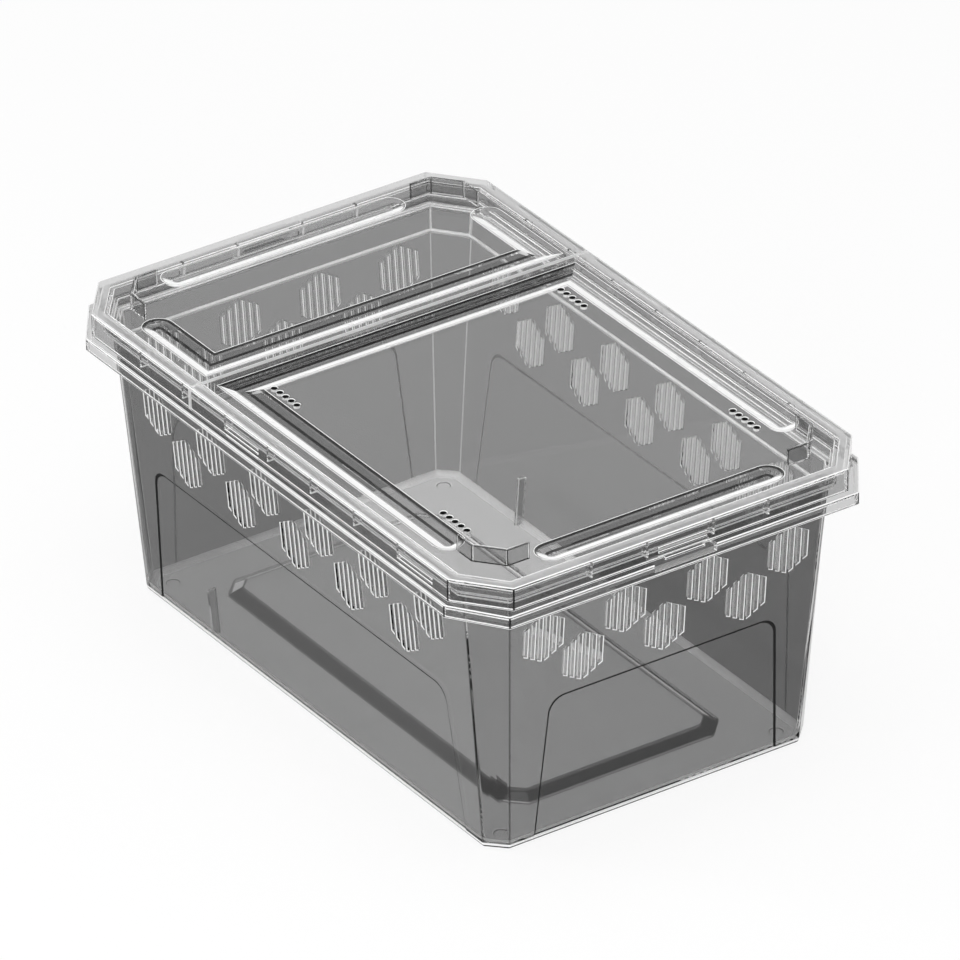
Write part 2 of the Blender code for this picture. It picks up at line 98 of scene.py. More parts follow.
# Tub
# One deep injection moulding in clear styrene plastic, with thin walls that lean out for the
# mould and corners cut across. Small radii run along every edge, and they wear painted white
# highlights and painted dark lines.
# Each face wears a skin, which is the place of its material in its piece's list. Most skins are
# the one clear plastic with painted shading, painted highlights, painted dark lines or a painted
# sheen.
WALL, DECK, EDGE, CORNER, CLEAR, SLOPE, ROLLED, UPRIGHT, OUTLINE, PLAIN, SHEEN_BAND, OVER_RIM = range(12)
tub_low, tub_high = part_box("tub")
wall_thickness = 0.0020
floor_thickness = 0.0020
foot_radius = 0.0025
edge_radius = 0.0004
upright_radius = 0.00045
rim_height = 0.0048
flange_thickness = 0.0022
lip_depth = 0.0061
lip_thickness = 0.0020
flange_top = tub_high.z - rim_height
flange_underside = flange_top - flange_thickness
lip_bottom = flange_top - lip_depth
foot_setbacks = (0.0232, 0.0230)
mouth_setbacks = (0.0118, 0.0123)
cover_setback = 0.0026
platform_margins = (0.0313, 0.0321)

# An outline is half length, half width, corner cut along X and corner cut along Y
lip = (tub_high.x, tub_high.y, 0.0242, 0.0170)
foot = (tub_high.x - foot_setbacks[0], tub_high.y - foot_setbacks[1], 0.0083, 0.0083)
mouth = (tub_high.x - mouth_setbacks[0], tub_high.y - mouth_setbacks[1], 0.0163, 0.0126)
cover = (tub_high.x - cover_setback, tub_high.y - cover_setback, 0.0225, 0.0182)
rim_inset = 0.0074
rim_thickness = 0.0017
platform = (foot[0] - platform_margins[0], foot[1] - platform_margins[1], 0.0060, 0.0060)
platform_rise = 0.0030
platform_slope = 0.0055
platform_flat = 0.0020
bead_z = 0.1197
bead_half = 0.0003
bead_proud = 0.0004

# One clear plastic gets a different darkness for each kind of face, as painted shading: dark walls, paler
# rims, floor and top, and near-black slopes, uprights and rolled edges. The plain tint is the plastic itself.
# The white and black below are painted highlights and painted dark lines.
wall_shading = 0.335
floor_shading = 0.70
rim_shading = 0.62
slope_shading = 0.13
upright_shading = 0.08
plain_tint = 0.98
painted_white = 0.95
painted_black = 0.02
rolled_shading = 0.02
clear_until = 0.05
dim_from = 0.14
white_from = 0.50
white_full = 0.64
outline_from = 0.75
outline_full = 0.60
plastic_index = 1.2
plastic_roughness = 0.02
edge_roughness = 0.35
gloss_roughness = 0.3
flow_size = 0.012
flow_depth = 0.00001
flow_detail = 3.0
flow_spread = 0.5


def add_flow(material, shader, roughness):
    """The faint waves and dull patches that the plastic's flow leaves on a moulded face."""
    nodes = material.node_tree.nodes
    links = material.node_tree.links
    place = nodes.new("ShaderNodeTexCoord")
    noise = nodes.new("ShaderNodeTexNoise")
    noise.inputs["Scale"].default_value = 1 / flow_size
    noise.inputs["Detail"].default_value = flow_detail
    gloss = nodes.new("ShaderNodeMapRange")
    gloss.inputs["To Min"].default_value = roughness * (1 - flow_spread)
    gloss.inputs["To Max"].default_value = roughness * (1 + flow_spread)
    waves = nodes.new("ShaderNodeBump")
    waves.inputs["Distance"].default_value = flow_depth
    links.new(place.outputs["Object"], noise.inputs["Vector"])
    links.new(noise.outputs["Fac"], gloss.inputs["Value"])
    links.new(gloss.outputs["Result"], shader.inputs["Roughness"])
    links.new(noise.outputs["Fac"], waves.inputs["Height"])
    links.new(waves.outputs["Normal"], shader.inputs["Normal"])


def clear_plastic(name, tint_and_shading):
    """Clear plastic, given a darkness that is partly its own tint and partly painted shading. Light that
    throws shadows goes straight through it, weakened by that darkness.
    """
    material = bpy.data.materials.new(name)
    material.use_nodes = True
    nodes = material.node_tree.nodes
    links = material.node_tree.links
    shader = nodes["Principled BSDF"]
    shader.inputs["Base Color"].default_value = (tint_and_shading, tint_and_shading, tint_and_shading, 1)
    shader.inputs["IOR"].default_value = plastic_index
    shader.inputs["Transmission Weight"].default_value = 1.0
    add_flow(material, shader, plastic_roughness)
    through = nodes.new("ShaderNodeBsdfTransparent")
    root = math.sqrt(tint_and_shading)
    through.inputs["Color"].default_value = (root, root, root, 1)
    path = nodes.new("ShaderNodeLightPath")
    mix = nodes.new("ShaderNodeMixShader")
    mix.name = "shadow_mix"
    links.new(path.outputs["Is Shadow Ray"], mix.inputs[0])
    links.new(shader.outputs[0], mix.inputs[1])
    links.new(through.outputs[0], mix.inputs[2])
    links.new(mix.outputs[0], nodes["Material Output"].inputs["Surface"])
    return material


def painted_edge_colour(name, shade):
    """A narrow face at an edge painted plain white or black: a painted highlight or a painted dark line."""
    material = bpy.data.materials.new(name)
    material.use_nodes = True
    shader = material.node_tree.nodes["Principled BSDF"]
    shader.inputs["Base Color"].default_value = (shade, shade, shade, 1)
    shader.inputs["Specular IOR Level"].default_value = shade / 2
    add_flow(material, shader, edge_roughness)
    return material


def by_slant(material, start, full):
    """A share that grows from nothing to all as the face is seen more aslant."""
    nodes = material.node_tree.nodes
    slant = nodes.new("ShaderNodeLayerWeight")
    amount = nodes.new("ShaderNodeMapRange")
    amount.inputs["From Min"].default_value = start
    amount.inputs["From Max"].default_value = full
    material.node_tree.links.new(slant.outputs["Facing"], amount.inputs["Value"])
    return amount.outputs["Result"]


def painted_white_or_clear(material, clear):
    """A painted white face that stands for caught light, or a clear one that lets all light through."""
    nodes = material.node_tree.nodes
    if clear:
        return nodes.new("ShaderNodeBsdfTransparent")
    white = nodes.new("ShaderNodeBsdfPrincipled")
    white.inputs["Base Color"].default_value = (painted_white, painted_white, painted_white, 1)
    add_flow(material, white, gloss_roughness)
    return white


def add_painted_sheen(material, share=None, start=white_from, full=white_full, clear=False):
    """Lay a painted white sheen over clear plastic: an even share, or one by slant with a clear front view.
    """
    nodes = material.node_tree.nodes
    links = material.node_tree.links
    white = painted_white_or_clear(material, clear)
    gloss = nodes.new("ShaderNodeMixShader")
    plastic = nodes["Principled BSDF"].outputs[0]
    if share is None:
        dim = nodes.new("ShaderNodeMixShader")
        links.new(by_slant(material, clear_until, dim_from), dim.inputs[0])
        links.new(nodes.new("ShaderNodeBsdfTransparent").outputs[0], dim.inputs[1])
        links.new(plastic, dim.inputs[2])
        plastic = dim.outputs[0]
        links.new(by_slant(material, start, full), gloss.inputs[0])
    else:
        gloss.inputs[0].default_value = share
    links.new(plastic, gloss.inputs[1])
    links.new(white.outputs[0], gloss.inputs[2])
    links.new(gloss.outputs[0], nodes["shadow_mix"].inputs[1])
    return material


def paint_bright_from_behind(material, clear=False):
    """Where a face painted dark is seen from its back through the plastic, paint it white instead, or make it
    clear.
    """
    nodes = material.node_tree.nodes
    links = material.node_tree.links
    surface = nodes["Material Output"].inputs["Surface"]
    dark = surface.links[0].from_socket
    bright = painted_white_or_clear(material, clear)
    face = nodes.new("ShaderNodeNewGeometry")
    sides = nodes.new("ShaderNodeMixShader")
    links.new(face.outputs["Backfacing"], sides.inputs[0])
    links.new(dark, sides.inputs[1])
    links.new(bright.outputs[0], sides.inputs[2])
    links.new(sides.outputs[0], surface)
    return material


# Painted light at edges: a painted white highlight, a painted dark line that turns white seen from behind, a
# near-black edge with a painted white sheen aslant, near-black uprights that turn clear seen from behind, and
# an outline painted white face on and black aslant.
painted_highlight_edge = painted_edge_colour("painted_highlight_edge", painted_white)
painted_dark_line = paint_bright_from_behind(painted_edge_colour("painted_dark_line", painted_black))
clear_rim = clear_plastic("clear_rim", rim_shading)
rolled_edge = add_painted_sheen(clear_plastic("rolled_edge", rolled_shading))
upright_painted_dark_line = paint_bright_from_behind(clear_plastic("upright_painted_dark_line", upright_shading), clear=True)
outline_edge = add_painted_sheen(clear_plastic("outline_edge", painted_black), start=outline_from, full=outline_full)
plain_clear = clear_plastic("plain_clear", plain_tint)


def moved_in(outline, distance):
    half_x, half_y, cut_x, cut_y = outline
    slant = math.hypot(cut_x, cut_y)
    side_x, side_y = cut_y / slant, cut_x / slant
    return (half_x - distance, half_y - distance,
            cut_x - distance * (1 - (1 - side_y) / side_x),
            cut_y - distance * (1 - (1 - side_x) / side_y))


def between(low, high, share):
    return tuple(a + (b - a) * share for a, b in zip(low, high))


def wall_outline(z):
    return between(foot, mouth, (z - foot_radius) / (flange_underside - foot_radius))


def stop(outline, z, skin, edge=EDGE, turn=None):
    """A place on a profile: the skins of the face after it, its rounded edge, by default painted as a white
    highlight, and its cut corners.
    """
    return outline, z, skin, edge, skin if turn is None else turn


def softened(stops, radius, steps=3, most=0.45):
    """A profile with each corner turned into a short curve, which takes up at most a share of a side."""
    rows = [(*outline, z) for outline, z, *skins in stops]
    levels = [(rows[0], stops[0][2], stops[0][4])]
    for index in range(1, len(rows) - 1):
        here = rows[index]
        skin, edge, turn = stops[index][2:]
        ends = []
        for other in (rows[index - 1], rows[index + 1]):
            length = math.hypot(other[0] - here[0], other[4] - here[4])
            ends.append(between(here, other, min(radius / length, most)))
        for step in range(steps + 1):
            share = step / steps
            point = between(between(ends[0], here, share), between(here, ends[1], share), share)
            levels.append((point, skin, turn) if step == steps else (point, edge, edge))
    levels.append((rows[-1], stops[-1][2], stops[-1][4]))
    return levels


def ring(outline, radius, steps):
    """The eight corners of an outline, each drawn as a short curve."""
    half_x, half_y, cut_x, cut_y = outline
    corners = [Vector(point) for point in (
        (half_x, cut_y - half_y), (half_x, half_y - cut_y),
        (half_x - cut_x, half_y), (cut_x - half_x, half_y),
        (-half_x, half_y - cut_y), (-half_x, cut_y - half_y),
        (cut_x - half_x, -half_y), (half_x - cut_x, -half_y),
    )]
    points = []
    for index, corner in enumerate(corners):
        before = corner + (corners[index - 1] - corner).normalized() * radius
        after = corner + (corners[(index + 1) % len(corners)] - corner).normalized() * radius
        for step in range(steps + 1):
            share = step / steps
            points.append(before.lerp(corner, share).lerp(corner.lerp(after, share), share))
    return points


def ring_body(stops, radius, steps=3):
    """A closed moulding from a profile carried round the box, flat at both ends of the profile."""
    bm = bmesh.new()
    levels = softened(stops, radius)
    loops = [[bm.verts.new((p.x, p.y, row[4])) for p in ring(row[:4], upright_radius, steps)]
             for row, *skins in levels]
    for (row, skin, turn), low, high in zip(levels, loops, loops[1:]):
        for i in range(len(low)):
            j = (i + 1) % len(low)
            face = bm.faces.new((low[i], low[j], high[j], high[i]))
            face.material_index = turn if (i + 1) % (steps + 1) else skin
    bm.faces.new(loops[0][::-1]).material_index = DECK
    bm.faces.new(loops[-1]).material_index = DECK
    bmesh.ops.recalc_face_normals(bm, faces=bm.faces[:])
    return bm


def add_body(bm, sections, skin, ends=None, bevel=0.0, edge=EDGE):
    """Add a closed body through like loops of points. A skin may be a function of row and side. Bevelled
    edges take the edge skin, by default the painted white highlight.
    """
    own = bmesh.new()
    loops = [[own.verts.new(point) for point in section] for section in sections]
    for row, (low, high) in enumerate(zip(loops, loops[1:])):
        for i in range(len(low)):
            j = (i + 1) % len(low)
            face = own.faces.new((low[i], low[j], high[j], high[i]))
            face.material_index = skin(row, i) if callable(skin) else skin
    for loop in (loops[0][::-1], loops[-1]):
        own.faces.new(loop).material_index = skin if ends is None else ends
    if bevel:
        made = bmesh.ops.bevel(own, geom=own.edges[:], offset=bevel, segments=2, profile=0.5,
                               affect="EDGES", clamp_overlap=True)
        for face in made["faces"]:
            face.material_index = edge
    bmesh.ops.recalc_face_normals(own, faces=own.faces[:])
    mesh = bpy.data.meshes.new("body")
    own.to_mesh(mesh)
    own.free()
    bm.from_mesh(mesh)
    bpy.data.meshes.remove(mesh)


def as_object(name, bm):
    mesh = bpy.data.meshes.new(name)
    bm.to_mesh(mesh)
    bm.free()
    piece = bpy.data.objects.new(name, mesh)
    scene.collection.objects.link(piece)
    return piece


def shape_with(piece, tool_bm, operation):
    """Cut a body out of a piece, or mould it on, and keep each face's skin."""
    tool = as_object("tool", tool_bm)
    for material in piece.data.materials:
        tool.data.materials.append(material)
    modifier = piece.modifiers.new("shape", "BOOLEAN")
    modifier.operation = operation
    modifier.solver = "EXACT"
    modifier.object = tool
    graph = bpy.context.evaluated_depsgraph_get()
    result = bpy.data.meshes.new_from_object(piece.evaluated_get(graph))
    piece.modifiers.clear()
    piece.data = result
    bpy.data.objects.remove(tool, do_unlink=True)


def level(points, z):
    return [(point[0], point[1], z) for point in points]


def oblong(x0, x1, y0, y1):
    return [(x0, y0), (x1, y0), (x1, y1), (x0, y1)]


rim = moved_in(cover, rim_inset)
slope_foot = moved_in(platform, -platform_slope)
inner_foot = floor_thickness + foot_radius
foot_turns = [math.radians(20 * i) for i in range(1, 5)]
# The upper part of the rounded foot is painted as a dark line and then a white highlight.
foot_curve = [
    stop(moved_in(foot, foot_radius * (1 - math.sin(a))), foot_radius * (1 - math.cos(a)), skin, skin)
    for a, skin in zip(foot_turns, (WALL, WALL, CORNER, EDGE))
]
inner_curve = [
    stop(moved_in(wall_outline(inner_foot), wall_thickness + foot_radius * (1 - math.sin(a))),
         floor_thickness + foot_radius * (1 - math.cos(a)), WALL)
    for a in reversed(foot_turns)
]


def inside_wall(z, extra=0.0):
    return moved_in(wall_outline(z), wall_thickness + extra)


# Along this profile the platform slopes are painted dark, turning clear seen aslant; the lip's edges wear the
# painted outline and its cut corners a painted dark line; the bead is painted white.
tub = as_object("tub_moulding", ring_body([
    stop(moved_in(platform, platform_flat), platform_rise, DECK),
    stop(platform, platform_rise, SLOPE, SLOPE),
    stop(slope_foot, 0, DECK, SLOPE),
    stop(moved_in(foot, foot_radius), 0, WALL, WALL),
    *foot_curve,
    stop(foot, foot_radius, WALL, EDGE, turn=UPRIGHT),
    stop(mouth, flange_underside, CLEAR),
    stop(moved_in(lip, lip_thickness), flange_underside, CLEAR),
    stop(moved_in(lip, lip_thickness), lip_bottom, CLEAR),
    stop(lip, lip_bottom, CLEAR, OUTLINE, turn=CORNER),
    stop(lip, flange_top, CLEAR, OUTLINE),
    stop(rim, flange_top, CLEAR),
    stop(rim, flange_top + rim_height, CLEAR),
    stop(moved_in(rim, rim_thickness), flange_top + rim_height, CLEAR),
    stop(moved_in(rim, rim_thickness), flange_top, CLEAR),
    stop(inside_wall(flange_top), flange_top, WALL, turn=EDGE),
    stop(inside_wall(bead_z + bead_half + bead_proud), bead_z + bead_half + bead_proud, EDGE),
    stop(inside_wall(bead_z + bead_half, bead_proud), bead_z + bead_half, EDGE),
    stop(inside_wall(bead_z - bead_half, bead_proud), bead_z - bead_half, EDGE),
    stop(inside_wall(bead_z - bead_half - bead_proud), bead_z - bead_half - bead_proud, WALL),
    stop(inside_wall(inner_foot), inner_foot, WALL, WALL),
    *inner_curve,
    stop(inside_wall(inner_foot, foot_radius), floor_thickness, DECK),
    stop(slope_foot, floor_thickness, SLOPE, SLOPE),
    stop(platform, platform_rise + floor_thickness, DECK, SLOPE),
    stop(moved_in(platform, platform_flat), platform_rise + floor_thickness, DECK),
], edge_radius))
# Tub skins in order: walls in dark painted shade, floor in pale painted light, painted white and dark edge
# lines, the rim, slopes painted dark that turn clear aslant, painted edges, uprights and outline, and the
# plain clear plastic.
for skin in (
    clear_plastic("wall_painted_shade", wall_shading), clear_plastic("floor_painted_light", floor_shading), painted_highlight_edge,
    painted_dark_line, clear_rim, add_painted_sheen(clear_plastic("shaded_slope", slope_shading), clear=True), rolled_edge,
    upright_painted_dark_line, outline_edge, plain_clear,
):
    tub.data.materials.append(skin)
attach(tub, "tub")
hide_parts("tub")


# Divider guides and ejector marks
# A slim rib stands inside each long wall to hold a divider, moulded with the wall. The four round
# marks in the floor are the prints of the mould's ejector pins.
guide_x = -0.0800
guide_width = 0.0016
guide_proud = 0.0040
guide_height = 0.0240
guide_radius = 0.0004
sunk = 0.0006
mark_radius = 0.0038
mark_depth = 0.0005
mark_slope = 0.0009
mark_setback = 0.0121
mark_sides = 32
overrun = 0.0010


def wall_frames():
    """Each flat wall: long or end, its axes along, up the slope and outwards, and its foot point."""
    rise = flange_underside - foot_radius
    walls = []
    for kind, angle, low, high in (
        ("long", -math.pi / 2, foot[1], mouth[1]), ("long", math.pi / 2, foot[1], mouth[1]),
        ("end", 0, foot[0], mouth[0]), ("end", math.pi, foot[0], mouth[0]),
    ):
        side = Vector((math.cos(angle), math.sin(angle), 0))
        along = Vector((-math.sin(angle), math.cos(angle), 0))
        up = (side * (high - low) + Vector((0, 0, rise))).normalized()
        axes = Matrix((along, up, along.cross(up))).transposed()
        walls.append((kind, axes, side * low + Vector((0, 0, foot_radius))))
    return walls


def on_wall(axes, start, points, depth):
    return [start + axes @ Vector((u, v, depth)) for u, v in points]


def up_wall(axes, z):
    return (z - foot_radius) / axes[2][1]


def turned(x, y, radius, z, sides):
    """The points of a level circle."""
    turns = [math.tau * i / sides for i in range(sides)]
    return [(x + radius * math.cos(a), y + radius * math.sin(a), z) for a in turns]


guides = bmesh.new()
for kind, axes, start in wall_frames():
    if kind == "long":
        u = guide_x * axes[0][0]
        low = up_wall(axes, floor_thickness / 2)
        points = oblong(u - guide_width / 2, u + guide_width / 2, low, low + guide_height)
        add_body(guides, [on_wall(axes, start, points, depth) for depth in
                          (-wall_thickness - guide_proud, sunk - wall_thickness)], CLEAR, bevel=guide_radius)
shape_with(tub, guides, "UNION")

marks = bmesh.new()
for side_x in (-1, 1):
    for side_y in (-1, 1):
        x = side_x * (foot[0] - mark_setback)
        y = side_y * (foot[1] - mark_setback)
        # The lower side of each mark is painted as a dark upright line, clear seen from behind.
        add_body(marks, [turned(x, y, radius, z, mark_sides) for z, radius in (
            (floor_thickness - mark_depth, mark_radius - mark_slope),
            (floor_thickness - mark_depth / 2, mark_radius - mark_slope / 2),
            (floor_thickness, mark_radius),
            (floor_thickness + overrun, mark_radius),
        )], lambda row, side: PLAIN if row else UPRIGHT, ends=DECK)
shape_with(tub, marks, "DIFFERENCE")


# Finger notches
# The lip and a strip of the flange are left out at the middle of each end, so that a finger
# reaches the pull tab of the cover above.
notch_width = 0.0320
notch_reach = 0.0070
notch_sill = 0.0025
notches = bmesh.new()
for side in (-1, 1):
    points = oblong(*sorted((side * (lip[0] - notch_reach), side * (lip[0] + overrun))),
                    -notch_width / 2, notch_width / 2)
    add_body(notches, [level(points, lip_bottom + notch_sill), level(points, flange_top + overrun)],
             CLEAR, bevel=edge_radius)
shape_with(tub, notches, "DIFFERENCE")


# Wall panels
# A shallow field with rounded upper corners is pressed into the outside of each wall, down to the
# rounded foot. Its step is painted as a fine dark line, white where seen from behind and along
# the foot.
panel_top = 0.0722
panel_depth = 0.0004
panel_top_slope = 0.0006
panel_side_slope = 0.0005
panel_line_depth = 0.00005
panel_foot_margin = 0.0128
panel_top_margin = 0.0208
panel_corner = 0.0080
panel_foot = 0.0004
panel_corner_steps = 12


def flat_half(kind, z):
    half_x, half_y, cut_x, cut_y = wall_outline(z)
    return half_x - cut_x if kind == "long" else half_y - cut_y


def panel_outline(kind, axes, share):
    top = up_wall(axes, panel_top) + panel_top_slope * share
    side = panel_side_slope * share
    foot_half = flat_half(kind, foot_radius) - panel_foot_margin + side
    top_half = flat_half(kind, panel_top) - panel_top_margin + side
    lean = math.atan2(foot_half - top_half, top)
    reach = panel_corner * math.tan((math.pi / 2 - lean) / 2)
    right = [(foot_half - math.tan(lean) * panel_foot, panel_foot)]
    for step in range(panel_corner_steps + 1):
        angle = lean + (math.pi / 2 - lean) * step / panel_corner_steps
        right.append((top_half - reach + panel_corner * math.cos(angle),
                      top - panel_corner + panel_corner * math.sin(angle)))
    return right + [(-u, v) for u, v in reversed(right)]


panels = bmesh.new()
for kind, axes, start in wall_frames():
    sections = []
    for depth, share in ((-panel_depth - panel_line_depth, -1), (-panel_depth, 0), (0, 1), (overrun, 1)):
        sections.append(on_wall(axes, start, panel_outline(kind, axes, share), depth))
    last_side = len(sections[0]) - 1
    add_body(panels, sections, lambda row, side: EDGE if side == last_side else CORNER, ends=WALL)
shape_with(tub, panels, "DIFFERENCE")


# Vents
# Two staggered rows of vents go round the walls under the lip. Each is a group of six upright
# slits, cut off along the sides of a hexagon, moulded right through the wall with broken edges.
vent_slits = 6
slit_width = 0.0018
slit_pitch = 0.0036
slit_slant = math.radians(30)
vent_width = 0.0210
vent_pitch = 0.0420
vent_drops = (0.0260, 0.0427)
vent_counts = {"long": (6, 5), "end": (4, 3)}
slit_radius = 0.0003
slit_draft = 0.0004


def slit_outline(centre_u, centre_v, index, grow):
    left = (index - (vent_slits - 1) / 2) * slit_pitch - slit_width / 2
    right = left + slit_width
    left_half, right_half = (vent_width / math.sqrt(3) - abs(edge) * math.tan(slit_slant)
                             for edge in (left, right))
    return [
        (centre_u + left - grow, centre_v - left_half - grow),
        (centre_u + right + grow, centre_v - right_half - grow),
        (centre_u + right + grow, centre_v + right_half + grow),
        (centre_u + left - grow, centre_v + left_half + grow),
    ]


# The slits' broken edges are painted white highlights, and one side of each slit is a dark upright that turns
# clear seen from behind.
def slit_skin(row, side):
    if row in (1, 3):
        return EDGE
    return UPRIGHT if side == 3 else CLEAR


vents = bmesh.new()
for kind, axes, start in wall_frames():
    for drop, count in zip(vent_drops, vent_counts[kind]):
        for vent in range(count):
            u = (vent - (count - 1) / 2) * vent_pitch
            for index in range(vent_slits):
                sections = []
                for depth, grow in (
                    (-wall_thickness - overrun, slit_radius - slit_draft),
                    (-wall_thickness, slit_radius - slit_draft),
                    (-wall_thickness + slit_radius, -slit_draft), (-slit_radius, 0),
                    (0, slit_radius), (overrun, slit_radius),
                ):
                    points = slit_outline(u, up_wall(axes, flange_top - drop), index, grow)
                    sections.append(on_wall(axes, start, points, depth))
                add_body(vents, sections, slit_skin, ends=CLEAR)
shape_with(tub, vents, "DIFFERENCE")


# Covers
# Two lift-off covers in the same clear plastic, parted across the box. Each is a shallow cap with
# a skirt, an inner wall that goes round the tub's mouth rim, and thin gussets between the two.
front_low, front_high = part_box("front_lid")
rear_low, rear_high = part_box("rear_lid")
fence_height = 0.0077
skirt_bottom = front_low.z
cover_top = front_high.z - fence_height
top_thickness = 0.0022
top_underside = cover_top - top_thickness
top_flat = 0.0030
skirt_thickness = 0.0020
inner_wall_setback = 0.0055
inner_wall_thickness = 0.0016
inner_wall_inside = inner_wall_setback + inner_wall_thickness
inner_wall_lift = 0.0020
inner_wall_bottom = skirt_bottom + inner_wall_lift
small_radius = 0.00025
gusset_thickness = 0.0012
gusset_radius = 0.00045
gusset_lift = 0.0017
gusset_bottom = skirt_bottom + gusset_lift
gusset_pitch = 0.0330
end_gusset_ys = (0.0170, 0.0454)
split_rib_thickness = 0.0018
split_rib_margin = 0.0116
groove_width = 0.0130
groove_depth = 0.0020
groove_side_run = 0.0045
groove_roll = 0.0007
groove_rim = 0.0003
groove_rim_drop = 0.00003
groove_leg_setback = 0.0179
groove_tip_setback = 0.0420
end_groove_setback = 0.0164
fence_gap = 0.0035
fence_thickness = 0.0012
fence_arm = 0.0110
fence_cut = (0.0117, 0.0098)
tab_half_width = 0.0102
tab_reach = 0.0023
tab_thickness = 0.0012
tab_lift = 0.00015
grip_half = 0.0125
grip_first_drop = 0.0049
grip_pitch = 0.0022
grip_ridges = 3
grip_heights = [cover_top - grip_first_drop - i * grip_pitch for i in range(grip_ridges)]
grip_thickness = 0.0010
cut_tolerance = 1e-7
grip_proud = 0.0005

# The cover's top, its grooves and the grooves over the rim each get their own darkness of the one plastic, as
# painted shading.
top_shading = 0.72
groove_shading = 0.52
over_rim_shading = 0.85
band_share = 0.25
# The covers' skins: the one clear plastic with painted shading, painted lines at edges, and a band round the
# top with an even painted white sheen.
cover_skins = [
    clear_rim, clear_plastic("top_painted_light", top_shading), painted_highlight_edge, painted_dark_line, clear_rim,
    add_painted_sheen(clear_plastic("groove_painted_shade_and_sheen", groove_shading)), rolled_edge, upright_painted_dark_line,
    outline_edge, plain_clear, add_painted_sheen(clear_plastic("band_painted_sheen", rim_shading), share=band_share),
    add_painted_sheen(clear_plastic("groove_over_rim_painted_light", over_rim_shading)),
]


def stroke(path, half_width, round_ends=True, end_steps=12):
    """The outline of a line of one width, mitred at its corners."""
    path = [Vector(point) for point in path]
    flanks = ([], [])
    for i, point in enumerate(path):
        before = (point - path[i - 1]).normalized() if i else None
        after = (path[i + 1] - point).normalized() if i + 1 < len(path) else None
        first, second = before or after, after or before
        middle = (first + second).normalized()
        across = Vector((-middle.y, middle.x)) * half_width / middle.dot(first)
        flanks[0].append(point + across)
        flanks[1].append(point - across)
    outline = []
    for flank, end, direction in (
        (flanks[1], path[-1], path[-1] - path[-2]),
        (flanks[0][::-1], path[0], path[0] - path[1]),
    ):
        outline += [tuple(p) for p in flank]
        if round_ends:
            start = math.atan2(direction.y, direction.x) - math.pi / 2
            for step in range(1, end_steps):
                angle = start + math.pi * step / end_steps
                outline.append((end.x + half_width * math.cos(angle), end.y + half_width * math.sin(angle)))
    return outline


def press_groove(piece, path):
    """A shallow trough that hangs under the top, hollowed from above, with its edges rolled over. Its faces
    and rolled edges are painted dark seen face on and white seen aslant, and a land at its top edge is
    painted white.
    """
    half_top = groove_width / 2
    half_floor = half_top - groove_side_run
    floor = cover_top - groove_depth
    slope = groove_side_run / groove_depth
    below = top_thickness / 2
    wider = below * slope
    trough = bmesh.new()
    add_body(trough, [level(stroke(path, width), z) for width, z in (
        (half_floor, floor - top_thickness), (half_top + wider, cover_top - below),
    )], SLOPE, ends=SLOPE)
    shape_with(piece, trough, "UNION")
    roll_rise = groove_roll / slope
    roll_end = cover_top - groove_rim_drop
    rim_half = half_top + groove_roll + groove_rim
    rows = (
        (half_floor - groove_roll, floor),
        (half_floor, floor + roll_rise / 4),
        (half_floor + groove_roll, floor + roll_rise),
        (half_top - groove_roll, roll_end - roll_rise),
        (half_top, roll_end - roll_rise / 4),
        (half_top + groove_roll, roll_end),
        (rim_half, cover_top),
        (rim_half, cover_top + overrun),
    )
    hollow = bmesh.new()
    add_body(hollow, [level(stroke(path, width), z) for width, z in rows],
             lambda row, side: {2: SLOPE, 5: EDGE}.get(row, ROLLED), ends=SLOPE)
    shape_with(piece, hollow, "DIFFERENCE")


